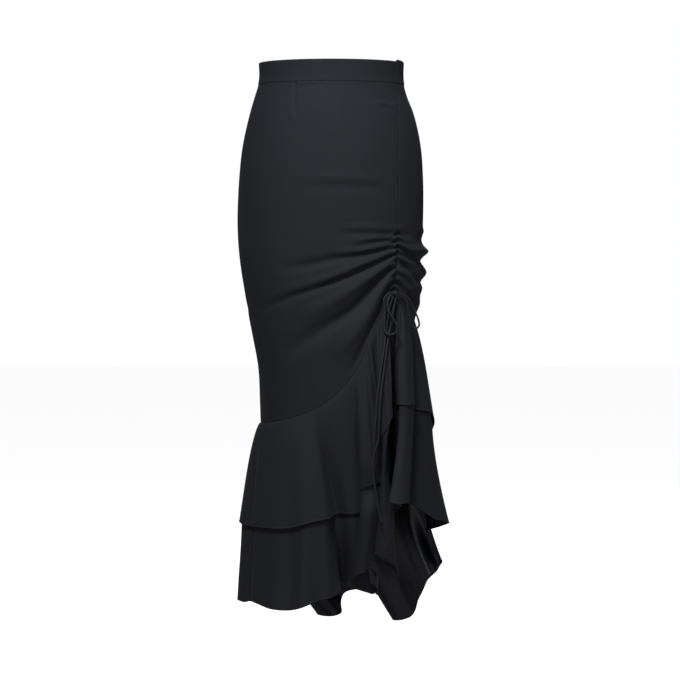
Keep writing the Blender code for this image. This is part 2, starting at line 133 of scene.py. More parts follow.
# ---- The fitted part: front panel, side front panel and two back panels of crepe, cut to the body
# from the waist to above the knee. The seam at the wearer's left front is drawn up from the hip down,
# and throws folds across the front.
def smooth(knots, values, x):
    """A cubic curve through the values, which are given at rising knots."""
    knots = np.asarray(knots, float)
    values = np.asarray(values, float)
    slope = np.gradient(values, knots, axis=0)
    x = np.clip(np.asarray(x, float), knots[0], knots[-1])
    i = np.clip(np.searchsorted(knots, x, side="right") - 1, 0, len(knots) - 2)
    span = knots[i + 1] - knots[i]
    s = (x - knots[i]) / span
    if values.ndim > 1:
        s, span = s[..., None], span[..., None]
    rise = s * s * (3 - 2 * s)
    bend = s * (1 - s) * span * ((1 - s) * slope[i] - s * slope[i + 1])
    return values[i] + (values[i + 1] - values[i]) * rise + bend


# The yarns, a few to the millimetre, are too fine to show, so the grain is drawn coarser than it is.
# how many grains a crinkle spans, patches of tone to the metre, how much lighter the lightest one is,
# how far the roughness strays
CRINKLE, PATCHES, LIGHTEST, UNEVEN = 3.2, 9.0, 1.18, 0.06


def cloth_material(name, colour, roughness, sheen, grain_mm, bump_mm, spec):
    """Woven polyester: UV in metres along the cloth, a grain of the given size, and a soft sheen."""
    made = bpy.data.materials.new(name)
    made.use_nodes = True
    shader = made.node_tree.nodes["Principled BSDF"]
    uv = node(made, "ShaderNodeUVMap", uv_map="cloth").outputs["UV"]
    grain = node(
        made,
        "ShaderNodeTexNoise",
        {"Vector": uv, "Scale": 1 / (grain_mm * MM), "Detail": 3.0, "Roughness": 0.6},
    )
    crinkle = node(
        made,
        "ShaderNodeTexNoise",
        {"Vector": uv, "Scale": 1 / (CRINKLE * grain_mm * MM), "Detail": 2.0, "Distortion": 1.2},
    )
    patches = node(made, "ShaderNodeTexNoise", {"Vector": uv, "Scale": PATCHES, "Detail": 2.0})
    weave = node(
        made,
        "ShaderNodeMath",
        {0: grain.outputs["Fac"], 1: crinkle.outputs["Fac"]},
        operation="MULTIPLY",
    )
    tone = node(
        made,
        "ShaderNodeMath",
        {0: patches.outputs["Fac"], 1: 0.5, 2: weave.outputs[0]},
        operation="MULTIPLY_ADD",
    )
    ramp = node(made, "ShaderNodeValToRGB", {"Fac": tone.outputs[0]})
    dark = rgb(colour)
    ramp.color_ramp.elements[0].position = 0.15
    ramp.color_ramp.elements[0].color = dark
    ramp.color_ramp.elements[1].position = 0.85
    ramp.color_ramp.elements[1].color = (*[c * LIGHTEST for c in dark[:3]], 1)
    rough = node(
        made,
        "ShaderNodeMapRange",
        {"Value": grain.outputs["Fac"], "To Min": roughness - UNEVEN, "To Max": roughness + UNEVEN},
    )
    bump = node(
        made,
        "ShaderNodeBump",
        {"Height": weave.outputs[0], "Distance": bump_mm * MM, "Strength": 0.6},
    )
    links = made.node_tree.links
    links.new(ramp.outputs["Color"], shader.inputs["Base Color"])
    links.new(rough.outputs["Result"], shader.inputs["Roughness"])
    links.new(bump.outputs["Normal"], shader.inputs["Normal"])
    shader.inputs["Sheen Weight"].default_value = sheen
    shader.inputs["Sheen Roughness"].default_value = 0.45
    shader.inputs["Sheen Tint"].default_value = rgb("#9aa0b4")
    shader.inputs["Specular IOR Level"].default_value = spec
    return made


# Crepe: hard-twisted yarn gives a matt face with a fine pebbled grain that swallows the light.
CREPE = cloth_material("black_crepe_face", "#191a20", 0.82, 0.03, 1.3, 0.25, spec=0.25)
# The other face of satin-back crepe: long floats of yarn, smooth and softly shining.
SATIN = cloth_material("black_satin_back", "#0a0c15", 0.35, 0.02, 1.6, 0.05, spec=0.45)


def new_piece(name, points, faces, uvs, material_of, materials):
    """A mesh piece in the row frame, from points in millimetres, with a UV map in metres."""
    mesh = bpy.data.meshes.new(name)
    mesh.from_pydata((np.asarray(points) * MM).tolist(), [], faces)
    layer = mesh.uv_layers.new(name="cloth")
    corner = np.empty(len(mesh.loops), np.int32)
    mesh.loops.foreach_get("vertex_index", corner)
    layer.data.foreach_set("uv", np.asarray(uvs, np.float32)[corner].ravel())
    for finish in materials:
        mesh.materials.append(finish)
    mesh.polygons.foreach_set("material_index", np.asarray(material_of, np.int32))
    mesh.shade_smooth()
    mesh.update()
    made = bpy.data.objects.new(name, mesh)
    bpy.context.scene.collection.objects.link(made)
    return made


def stand_in(piece, name):
    """The piece takes the place of one of the CAD model's nodes and moves with the skirt."""
    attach(piece, "skirt")
    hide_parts(name)


# z, half width to the wearer's right and left, depth of the front and of the back
SECTIONS = np.array(
    (
        (-660, 129, 138, 114, 119),
        (-600, 131, 139, 114, 117),
        (-530, 135, 143, 116, 115),
        (-485, 143, 147, 118, 115),
        (-440, 151.5, 152, 118, 116),
        (-395, 159, 159, 119, 119),
        (-350, 166, 162, 120, 123),
        (-310, 170, 163.5, 120, 126),
        (-270, 171.5, 165.5, 119, 129),
        (-230, 170.5, 166, 118, 131),
        (-180, 167, 164.5, 116, 129),
        (-140, 162.5, 161.5, 113, 124),
        (-105, 156, 155.5, 109, 117),
        (-70, 147.5, 146, 103, 108),
        (-45, 140, 136, 98, 101),
        (-20, 132.5, 129.5, 94, 95),
        (25, 131.5, 130, 92, 92),
    )
)
# angle, z of the seam that joins the flounces to the panels: up to the gathers, and on round the back
SEAM_UP = np.array(
    (
        (-100, -638),
        (-90, -638),
        (-66, -636),
        (-43, -629),
        (-20, -614),
        (-8, -601),
        (3, -582),
        (12, -558),
        (19, -532),
        (26, -494),
        (35, -447),
        (44, -404),
    )
)
SEAM_ROUND = np.array(
    (
        (44, -404),
        (57, -422),
        (70, -442),
        (90, -468),
        (120, -518),
        (150, -584),
        (180, -628),
        (215, -642),
        (245, -640),
        (270, -638),
    )
)
# z, x of the seam between the front and side front panels
PRINCESS_SEAM = np.array(((-404, 110.5), (-350, 115), (-290, 118.5), (-150, 119), (-60, 119), (25, 119)))
GATHER_DEG, GATHER_Z = 44.0, -404.0
BAND_FOOT, BAND_GAP = -24.0, 0.2
# the body's radius at the hip, and the millimetres there to a degree
HIP_RADIUS = 140.0
ARC = math.radians(HIP_RADIUS)
# Panels overlap by twice this at a seam, so that no light shows through.
SEAM_HALF = 0.2
WALL = 0.9

# The folds that the drawstring throws, and the soft creases above them. For each: height, width where
# it starts and where it ends, then the x, z points that it runs through
GATHER_FOLDS = (
    (1.8, 4, 6, ((128, -283), (108, -284), (60, -283), (8, -283))),
    (-2.8, 4, 6, ((134, -296), (111, -295), (60, -294), (0, -294))),
    (1.7, 4, 5, ((106, -303), (72, -303), (30, -308))),
    (-4.2, 4, 6, ((111, -309), (104, -307), (76, -310), (40, -318))),
    (3.4, 4, 6, ((108, -314), (76, -319), (40, -326), (0, -329))),
    (2.6, 4, 5, ((108, -299), (118, -300), (132, -304), (150, -312))),
    (5.6, 6, 7, ((120, -314), (143, -323), (158, -326))),
    (-4.2, 4, 5, ((118, -319), (136, -329), (152, -340))),
    (-6.4, 5, 10, ((106, -319), (79, -327), (49, -333), (5, -339), (-48, -351), (-100, -356))),
    (5.4, 5, 11, ((111, -324), (85, -337), (58, -347), (23, -362), (-20, -380), (-90, -400))),
    (-8.4, 5, 8, ((106, -333), (76, -348), (41, -364), (5, -379), (-57, -400), (-136, -432))),
    (-3.0, 3, 4, ((114, -324), (129, -333), (139, -339), (150, -342))),
    (4.2, 4, 6, ((112, -338), (125, -341), (141, -347), (154, -356))),
    (6.6, 5, 15, ((108, -345), (90, -356), (72, -368), (49, -384), (5, -412), (-60, -446))),
    (-10.5, 6, 18, ((104, -358), (88, -375), (67, -400), (39, -428), (-21, -466), (-92, -512))),
    (-4.4, 4, 6, ((114, -344), (129, -353), (141, -366), (153, -382))),
    (5.4, 5, 7, ((115, -356), (129, -364), (143, -382), (152, -400))),
    (-4.0, 4, 6, ((112, -374), (119, -388), (127, -404))),
    (4.0, 4, 6, ((117, -366), (126, -380), (137, -396), (146, -414))),
    (6.8, 5, 15, ((108, -364), (98, -378), (84, -400), (70, -428), (45, -466), (5, -512))),
    (-8.0, 5, 9, ((105, -386), (93, -422), (70, -470), (47, -514), (30, -548))),
    (3.6, 4, 7, ((104, -404), (88, -438), (70, -478), (56, -507))),
    (1.5, 8, 8, ((82, -197), (30, -195), (-56, -197))),
    (-1.8, 7, 9, ((76, -213), (20, -211), (-60, -213))),
    (-1.2, 4, 5, ((108, -57), (92, -54), (74, -52))),
    (1.3, 4, 5, ((108, -65), (92, -62), (74, -60))),
    (-1.0, 4, 5, ((108, -74), (92, -71), (76, -70))),
    (-1.2, 3, 4, ((-60, -34), (-35, -31), (-8, -28))),
    (1.0, 7, 9, ((12, -60), (13, -95), (15, -130))),
    (1.5, 4, 4, ((-71, -77), (-71, -86), (-70, -95))),
)
# The same folds as they run on round the hip to the back, and soft creases under the seat and behind
# the knee. The points are an angle and a height.
SIDE_FOLDS = (
    (2.6, 5, 9, ((58, -286), (90, -288), (130, -292), (158, -296))),
    (-3.0, 5, 9, ((58, -299), (90, -303), (130, -309), (160, -316))),
    (4.0, 5, 11, ((60, -314), (85, -325), (115, -340), (158, -362))),
    (-4.0, 5, 11, ((60, -327), (85, -342), (115, -362), (158, -392))),
    (3.6, 5, 11, ((62, -340), (80, -354), (105, -380), (140, -420))),
    (-3.8, 5, 11, ((62, -353), (80, -370), (105, -402), (132, -446))),
    (2.8, 5, 10, ((60, -368), (74, -388), (92, -420), (112, -462))),
    (1.4, 9, 12, ((118, -203), (160, -208), (205, -207), (246, -200))),
    (-1.8, 8, 11, ((122, -220), (160, -226), (205, -225), (240, -218))),
    (1.5, 9, 13, ((128, -272), (165, -268), (210, -262), (250, -262))),
    (-1.7, 10, 13, ((135, -292), (175, -287), (215, -281), (252, -280))),
    (1.7, 11, 15, ((150, -486), (185, -498), (222, -500), (262, -486))),
    (-2.0, 11, 15, ((140, -508), (180, -522), (222, -524), (262, -510))),
    (-1.4, 8, 10, ((226, -402), (250, -412), (275, -430), (290, -452))),
)
# z, how far the side front panel puffs out between the gathers
PUFFS = np.array(
    (
        (-470, 0),
        (-445, 0.5),
        (-420, 3.0),
        (-405, 1.0),
        (-392, 5.0),
        (-379, 2.0),
        (-364, 7.5),
        (-351, 3.5),
        (-338, 0.0),
        (-324, 9.5),
        (-311, 1.5),
        (-300, 0.5),
        (-280, 0),
    )
)
# the angle of the middle of the puffs, their half width, where they begin and how fast
PUFF_DEG, PUFF_HALF, PUFF_FROM, PUFF_FADE = 88, 34, 40, 20
# the angle past which the side folds rise, and how fast
SIDE_FROM, SIDE_FADE = 62, 24
# the gathered seam: its ends, its groove, and the puckers across it
CHANNEL_TOP, CHANNEL_FOOT, CHANNEL_FADE = -292.0, -402.0, 10.0
CHANNEL_DEEP, CHANNEL_HALF = 2.4, 5.0
PUCKER_PITCH, PUCKER_REACH, PUCKER_HIGH = 12.5, 12.0, 2.6
# the dart under the waistband at the wearer's right front
DART_X, DART_END, DART_DEEP, DART_HALF, DART_FADE = -65.0, -76.0, 1.7, 1.9, 14.0
SLACK_HIGH, SLACK_FADE = 0.35, 60.0


def bell(x):
    """A bell curve, 1 at 0."""
    return np.exp(-x * x)


def bare_body(deg, z):
    """Points of the fitted part before the folds, and the outward normals there."""
    right, left, front, back = np.moveaxis(smooth(SECTIONS[:, 0], SECTIONS[:, 1:], z), -1, 0)
    sin, cos = np.sin(np.radians(deg)), np.cos(np.radians(deg))
    wide = np.where(sin > 0, left, right)
    deep = np.where(cos > 0, front, back)
    normal = np.stack([sin / wide, -cos / deep, 0 * z], axis=-1)
    normal /= np.linalg.norm(normal, axis=-1, keepdims=True)
    return np.stack([wide * sin, -deep * cos, z], axis=-1), normal


def princess_deg(z):
    """The angle of the seam between the front and side front panels."""
    x = smooth(PRINCESS_SEAM[:, 0], PRINCESS_SEAM[:, 1], z)
    wide = smooth(SECTIONS[:, 0], SECTIONS[:, 2], z)
    return np.where(z <= GATHER_Z, GATHER_DEG, np.degrees(np.arcsin(np.clip(x / wide, 0, 1))))


def seam_z(deg):
    """The height of the seam under the panels, where the flounces hang."""
    up = smooth(SEAM_UP[:, 0], SEAM_UP[:, 1], deg)
    return np.where(deg < GATHER_DEG, up, smooth(SEAM_ROUND[:, 0], SEAM_ROUND[:, 1], deg))


def fold_height(table, across, z):
    """The height of a table's folds at points given by their distance across and their height."""
    total = np.zeros(across.shape)
    for high, near, far, route in table:
        route = np.array(route, float)
        knots = np.concatenate([[0], np.cumsum(np.linalg.norm(np.diff(route, axis=0), axis=1))])
        t = np.linspace(0, 1, 48)
        line = smooth(knots, route, t * knots[-1])
        away = np.hypot(across[..., None] - line[:, 0], z[..., None] - line[:, 1])
        closest = away.argmin(axis=-1)
        # A fold swells a little and widens along its length, and dies away at its end.
        spread = near + (far - near) * t[closest]
        fade = (1 - t[closest] ** 3) * (0.6 + 0.6 * t[closest])
        total += high * fade * bell(away.min(axis=-1) / spread)
    return total


def body(deg, z, out=0.0):
    """Points of the fitted part's outer face with its folds, moved out along the normal."""
    deg, z = np.broadcast_arrays(np.asarray(deg, float), np.asarray(z, float))
    spot, normal = bare_body(deg, z)
    x = spot[..., 0]
    puffed = bell((deg - PUFF_DEG) / PUFF_HALF) * np.clip((deg - PUFF_FROM) / PUFF_FADE, 0, 1)
    height = smooth(PUFFS[:, 0], PUFFS[:, 1], z) * puffed
    front = np.clip(np.cos(np.radians(deg)) * 2, 0, 1)
    if (front > 0).any():
        height = height + fold_height(GATHER_FOLDS, x, z) * front
    around = np.where(deg < -60, deg + 360, deg)
    if (around > 55).any():
        round_hip = [(*fold[:3], [(a * ARC, h) for a, h in fold[3]]) for fold in SIDE_FOLDS]
        risen = np.clip((around - SIDE_FROM) / SIDE_FADE, 0, 1)
        height = height + fold_height(round_hip, around * ARC, z) * risen
    channel = (deg - princess_deg(z)) * ARC
    drawn = np.clip((CHANNEL_TOP + 4 - z) / CHANNEL_FADE, 0, 1)
    drawn = drawn * np.clip((z - CHANNEL_FOOT + 4) / CHANNEL_FADE, 0, 1)
    pucker = np.sin(2 * math.pi * (z + 0.6 * np.abs(channel)) / PUCKER_PITCH + 1.1 * np.sin(z / 17))
    height = height + PUCKER_HIGH * drawn * pucker * bell(channel / PUCKER_REACH) * front
    height = height - CHANNEL_DEEP * drawn * bell(channel / CHANNEL_HALF) * front
    dart = np.clip((z - DART_END) / DART_FADE, 0, 1) * np.clip((BAND_FOOT - z) / 2, 0, 1)
    height = height - DART_DEEP * dart * bell((x - DART_X) / DART_HALF) * (front > 0)
    # The cloth is never quite flat: slow waves of different lengths that don't repeat.
    slack = np.sin(deg / 11 + z / 47) * np.sin(z / 61 - deg / 23) + 0.5 * np.sin(deg / 5.3 - z / 33)
    height = height + SLACK_HIGH * slack * np.clip((BAND_FOOT - z) / SLACK_FADE, 0, 1)
    return spot + normal * (height + out)[..., None]


def normals(points):
    """Outward normals of a grid whose rows run down and whose columns run round."""
    normal = np.cross(np.gradient(points, axis=0), np.gradient(points, axis=1))
    return normal / np.maximum(np.linalg.norm(normal, axis=-1, keepdims=True), 1e-9)


def shell(name, points, wall=WALL, finishes=(CREPE, SATIN)):
    """A thin wall of cloth whose outer face is a grid of points. wall may differ from point to point,
    and finishes gives the outer and the inner face's material."""
    rows, columns = points.shape[:2]
    wall = np.broadcast_to(wall, (rows, columns))[..., None]
    inner = points - normals(points) * wall
    across = np.linalg.norm(np.diff(points, axis=1), axis=-1).mean(axis=0)
    down = np.linalg.norm(np.diff(points, axis=0), axis=-1).mean(axis=1)
    u = np.concatenate([[0], np.cumsum(across)]) * MM
    v = np.concatenate([[0], np.cumsum(down)]) * MM
    uv = np.stack(np.meshgrid(u, -v), axis=-1).reshape(-1, 2)
    count = rows * columns
    r, c = np.meshgrid(np.arange(rows - 1), np.arange(columns - 1), indexing="ij")
    a = (r * columns + c).ravel()
    outer = np.stack([a, a + columns, a + columns + 1, a + 1], axis=1)
    rim = []
    edge = [*range(columns), *[k * columns + columns - 1 for k in range(1, rows)]]
    edge += [*[(rows - 1) * columns + k for k in range(columns - 2, -1, -1)]]
    edge += [*[k * columns for k in range(rows - 2, 0, -1)]]
    for k, first in enumerate(edge):
        second = edge[(k + 1) % len(edge)]
        rim.append((first, second, second + count, first + count))
    faces = outer.tolist() + (outer[:, ::-1] + count).tolist() + rim
    finish_of = [0] * len(outer) + [1] * len(outer) + [0] * len(rim)
    spots = np.concatenate([points.reshape(-1, 3), inner.reshape(-1, 3)])
    return new_piece(name, spots, faces, np.concatenate([uv, uv]), finish_of, finishes)


def pressed(distance, deep=0.6, width=1.5):
    """How far a seam's edge turns in, at a distance in millimetres from the edge."""
    return -deep * bell(np.asarray(distance) / width)


def dense(count, ends=0.35):
    """Steps from 0 to 1, closer together near both ends."""
    t = np.linspace(0, 1, count + 1)
    return t - ends * np.sin(2 * math.pi * t) / (2 * math.pi)


def panel(left, right, columns, rows):
    """The points of a panel between two edges, each an angle at a height. Its edges turn in."""
    across, down = dense(columns, 0.4), dense(rows, 0.4)[:, None]
    foot = GATHER_Z - 1
    low = seam_z(left(foot) + (right(foot) - left(foot)) * across)
    top = BAND_FOOT - BAND_GAP
    z = top + (low - top) * down
    past = math.degrees(SEAM_HALF / HIP_RADIUS)
    deg = left(z) - past + (right(z) - left(z) + 2 * past) * across
    from_side = np.minimum(deg - left(z), right(z) - deg) * ARC
    from_foot = (z - low) / 1.4
    return body(deg, z, pressed(from_side) + pressed(from_foot, 1.0, 2.0))


def edge_at(deg):
    """A straight side seam at one angle, in the form that panel takes."""
    return lambda z: np.full(np.shape(z), float(deg))


# left edge, right edge, columns, rows, flat size and area in metres, how it is held
PANELS = {
    "front_panel": (edge_at(-90), princess_deg, 190, 210, (0.40, 0.62), 0.193, "gathered"),
    "side_front_panel": (princess_deg, edge_at(90), 80, 200, (0.13, 0.45), 0.040, "gathered"),
    "back_panel_left": (edge_at(90), edge_at(180), 90, 120, (0.22, 0.61), 0.118, "stretched"),
    "back_panel_right": (edge_at(180), edge_at(270), 90, 120, (0.23, 0.62), 0.134, "stretched"),
}
for name, (left, right, columns, rows, flat, area, held) in PANELS.items():
    cut = shell(name + "_cloth", panel(left, right, columns, rows))
    stand_in(cut, name)


# ---- The waistband: a straight band of the crepe folded double over a firm interfacing, and
# stitched to the panels. It closes on the zip at the centre back, and its back length ends a little
# higher where it meets the front one.
BAND_TOP, BAND_PROUD, BAND_WALL, BAND_SLACK, BAND_ROWS = 15.5, 1.0, 2.0, 0.25, 26
WAIST_RADIUS = 132.0
# the step's height, and the degrees over which it dies away
BAND_STEP, STEP_DEG = 3.0, 22.0
# angles: the seam at the wearer's left, half the zip's slot, half a seam
BAND_SEAM, ZIP_SLOT, SEAM_DEG = 63.0, 1.15, 0.02


def band(first, last, columns, step):
    """The outer points of a length of waistband and its wall, with its edges rounded over."""
    deg = first + (last - first) * dense(columns, 0.5)
    up = 1 - dense(BAND_ROWS, 0.7)[:, None]
    raised = step * bell((deg - first) / STEP_DEG)
    z = BAND_FOOT + up * (BAND_TOP + raised - BAND_FOOT)
    from_edge = np.minimum(z - BAND_FOOT, BAND_TOP + raised - z)
    from_end = np.minimum(deg - first, last - deg) * math.radians(WAIST_RADIUS)
    turn = pressed(from_edge, 0.7, 0.9) + pressed(from_end, 0.5, 0.8)
    slack = BAND_SLACK * np.sin(deg / 7.0 + z / 11) * np.sin(deg / 17)
    return body(deg, z, BAND_PROUD + turn + slack), BAND_WALL + 1.6 * pressed(from_edge, 0.6, 0.8)


# name, first and last angle, columns, step, flat size in metres
for name, first, last, columns, step, flat in (
    ("waistband_front", -90 + SEAM_DEG, BAND_SEAM - SEAM_DEG, 150, 0.0, (0.318, 0.0395)),
    ("waistband_back_left", BAND_SEAM + SEAM_DEG, 180 - ZIP_SLOT, 110, BAND_STEP, (0.226, 0.0425)),
    ("waistband_back_right", 180 + ZIP_SLOT, 270 - SEAM_DEG, 80, 0.0, (0.182, 0.0395)),
):
    points, wall = band(first, last, columns, step)
    cut = shell(name + "_cloth", points, wall, (CREPE, CREPE))
    stand_in(cut, name)


# ---- The casing: a strip of the crepe stitched inside both panels along the gathered seam, as a
# channel for the drawstring, which comes out at its foot.
# how far it stops short of the gathers' ends, its edges in degrees from the seam
CASING_TOP, CASING_FOOT, CASING_EDGES = 3.0, 8.0, (-5.2, 3.6)
CASING_IN, CASING_WALL = 0.9, 0.6
down_seam = np.linspace(CHANNEL_TOP - CASING_TOP, CHANNEL_FOOT + CASING_FOOT, 70)[:, None]
across_seam = princess_deg(down_seam) + np.linspace(*CASING_EDGES, 22)
strip = body(across_seam, down_seam, -WALL - CASING_IN)
casing = shell("drawstring_casing_cloth", strip, CASING_WALL)
stand_in(casing, "drawstring_casing")


# ---- The drawstring: a rouleau, a narrow tube sewn from a bias strip of the skirt's own crepe and
# turned right side out. It leaves its casing at the foot of the gathered seam, where it is tied in
# a bow with two loops and two long tails that hang free in front of the flounces.
# Rouleau: the same crepe on the bias, pulled tight round its own seam allowance, which stretches the
# grain smoother and gives the cord a faint gleam.
ROULEAU = cloth_material("black_crepe_rouleau", "#16171c", 0.7, 0.03, 0.9, 0.2, spec=0.35)
CORD, CORD_STEP, CORD_SIDES = 3.6, 1.5, 12
# how its own seam winds, in radians a millimetre, and sinks in; how far its ends round over
CORD_TWIST, CORD_GROOVE, CORD_TIP = 0.02, 0.1, 1.2


def tube(name, path, radius, sides, finish):
    """A closed tube round a path in millimetres. Its own seam is a shallow groove that winds round."""
    path = np.asarray(path, float)
    radius = np.broadcast_to(radius, len(path))
    along = np.concatenate([[0], np.cumsum(np.linalg.norm(np.diff(path, axis=0), axis=1))])
    tangent = np.gradient(path, axis=0)
    tangent /= np.linalg.norm(tangent, axis=1, keepdims=True)
    # Any direction that isn't along the cord will do for the first side. Each next one follows from it.
    side = np.cross(tangent[0], (0.3, 1.0, 0.2))
    points, uvs = [], []
    for k, (spot, way) in enumerate(zip(path, tangent)):
        side = side - way * (side @ way)
        side /= np.linalg.norm(side)
        other = np.cross(way, side)
        for j in range(sides):
            from_seam = 2 * math.pi * j / sides
            turn = from_seam + CORD_TWIST * along[k]
            groove = 1 - CORD_GROOVE * max(0.0, math.cos(from_seam)) ** 12
            outward = math.cos(turn) * side + math.sin(turn) * other
            points.append(spot + radius[k] * groove * outward)
            uvs.append((from_seam * radius[k] * MM, along[k] * MM))
    faces = []
    for k in range(0, (len(path) - 1) * sides, sides):
        for j in range(sides):
            n = (j + 1) % sides
            faces.append((k + j, k + n, k + sides + n, k + sides + j))
    faces.append(tuple(range(sides))[::-1])
    faces.append(tuple(range((len(path) - 1) * sides, len(path) * sides)))
    return new_piece(name, points, faces, uvs, [0] * len(faces), [finish])


# Where the cord runs from the knot, as points x, y, z in millimetres. A loop ends at the knot again.
KNOT = np.array((112.9, -90.5, -400.0))
LOOP_LEFT = (
    (106.9, -92.6, -402.6),
    (101.5, -99.5, -408.5),
    (98.5, -104.5, -420.0),
    (101.0, -107.5, -431.0),
    (106.5, -110.0, -442.0),
    (113.0, -111.0, -452.0),
    (115.5, -111.5, -461.5),
    (111.0, -112.5, -470.0),
    (102.5, -112.5, -472.5),
    (94.5, -111.0, -467.0),
    (92.5, -109.5, -456.0),
    (94.0, -107.0, -440.0),
    (93.5, -106.0, -425.0),
    (92.0, -105.0, -412.0),
    (97.0, -101.0, -402.5),
    (106.6, -93.6, -397.2),
)
LOOP_RIGHT = (
    (119.2, -90.0, -398.6),
    (126.5, -89.0, -402.0),
    (132.5, -87.0, -413.0),
    (135.5, -85.0, -430.0),
    (138.5, -84.0, -446.0),
    (143.0, -83.0, -457.5),
    (149.5, -81.5, -463.0),
    (155.0, -79.0, -458.0),
    (154.0, -76.0, -446.0),
    (148.0, -74.5, -432.0),
    (141.0, -76.0, -417.0),
    (132.5, -79.5, -404.5),
    (124.5, -83.5, -396.5),
    (119.0, -87.5, -394.5),
)
TAIL_LONG = (
    (114.0, -90.7, -406.0),
    (111.0, -93.8, -420.0),
    (107.5, -98.0, -436.0),
    (104.5, -101.0, -455.0),
    (100.5, -106.0, -474.0),
    (98.0, -111.5, -492.0),
    (94.5, -118.0, -516.0),
    (91.0, -124.5, -541.0),
    (87.5, -131.0, -566.0),
    (84.5, -136.5, -592.0),
    (83.5, -139.0, -618.0),
    (82.5, -140.0, -642.0),
    (81.0, -140.5, -660.0),
    (76.0, -141.0, -676.0),
    (73.0, -141.5, -692.0),
    (73.0, -142.0, -712.0),
    (75.5, -142.0, -738.0),
    (79.5, -142.0, -764.0),
    (84.5, -142.0, -790.0),
    (87.5, -142.0, -803.0),
)
TAIL_SHORT = (
    (109.1, -91.0, -404.8),
    (104.0, -96.0, -418.0),
    (100.5, -99.5, -436.0),
    (97.5, -102.5, -456.0),
    (95.0, -106.5, -478.0),
    (91.5, -114.0, -502.0),
    (87.5, -121.5, -528.0),
    (83.5, -128.5, -554.0),
    (80.0, -134.0, -580.0),
    (78.0, -137.5, -606.0),
    (76.5, -139.0, -630.0),
    (74.5, -139.5, -652.0),
    (72.5, -140.0, -668.0),
)
for name, route, far_end in (
    ("drawstring_loop_left", LOOP_LEFT, "object"),
    ("drawstring_loop_right", LOOP_RIGHT, "object"),
    ("drawstring_tail_long", TAIL_LONG, "bare"),
    ("drawstring_tail_short", TAIL_SHORT, "bare"),
):
    route = np.array(route)
    reach = np.concatenate([[0], np.cumsum(np.linalg.norm(np.diff(route, axis=0), axis=1))])
    line = smooth(reach, route, np.linspace(0, reach[-1], round(reach[-1] / CORD_STEP)))
    ends = np.minimum(np.arange(len(line)), np.arange(len(line))[::-1]) * CORD_STEP
    thick = CORD / 2 * np.sqrt(np.clip(1 - (1 - np.minimum(ends / CORD_TIP, 1)) ** 2, 0.25, 1))
    string = tube(name + "_rouleau", line, thick, CORD_SIDES, ROULEAU)
    stand_in(string, name)

# The knot: the cord crosses in front, goes round and comes out below, so three turns show.
# lean of a turn in degrees, how far it lies above the middle, its size
KNOT_TURNS = ((0.0, 0.0, 1.0), (35.0, 0.5, 0.9), (-40.0, -0.5, 0.86))
KNOT_HALF_WIDE, KNOT_HALF_DEEP, KNOT_THICK, KNOT_STEPS, KNOT_SIDES = 3.9, 1.5, 1.75, 48, 10
# the length of a side round the cord and of a step along it
SIDE_LONG, STEP_LONG = 1.1, 0.5
knot_points, knot_faces, knot_uvs = [], [], []
for tilt, rise, size in KNOT_TURNS:
    lean = math.radians(tilt)
    across = np.array((math.cos(lean), 0, math.sin(lean)))
    up = np.array((-math.sin(lean), 0, math.cos(lean)))
    first = len(knot_points)
    for k in range(KNOT_STEPS):
        turn = 2 * math.pi * k / KNOT_STEPS
        outward = math.cos(turn) * across + np.array((0, math.sin(turn), 0))
        middle = KNOT + KNOT_HALF_WIDE * size * math.cos(turn) * across + rise * up
        middle = middle + np.array((0, KNOT_HALF_DEEP * math.sin(turn), 0))
        for j in range(KNOT_SIDES):
            a = 2 * math.pi * j / KNOT_SIDES
            knot_points.append(middle + KNOT_THICK * (math.cos(a) * outward + math.sin(a) * up))
            knot_uvs.append((j * SIDE_LONG * MM, k * STEP_LONG * MM))
    for k in range(KNOT_STEPS):
        here, ahead = first + k * KNOT_SIDES, first + (k + 1) % KNOT_STEPS * KNOT_SIDES
        for j in range(KNOT_SIDES):
            n = (j + 1) % KNOT_SIDES
            knot_faces.append((here + j, ahead + j, ahead + n, here + n))
knot = new_piece(
    "drawstring_knot_rouleau", knot_points, knot_faces, knot_uvs, [0] * len(knot_faces), [ROULEAU]
)
stand_in(knot, "drawstring_knot")


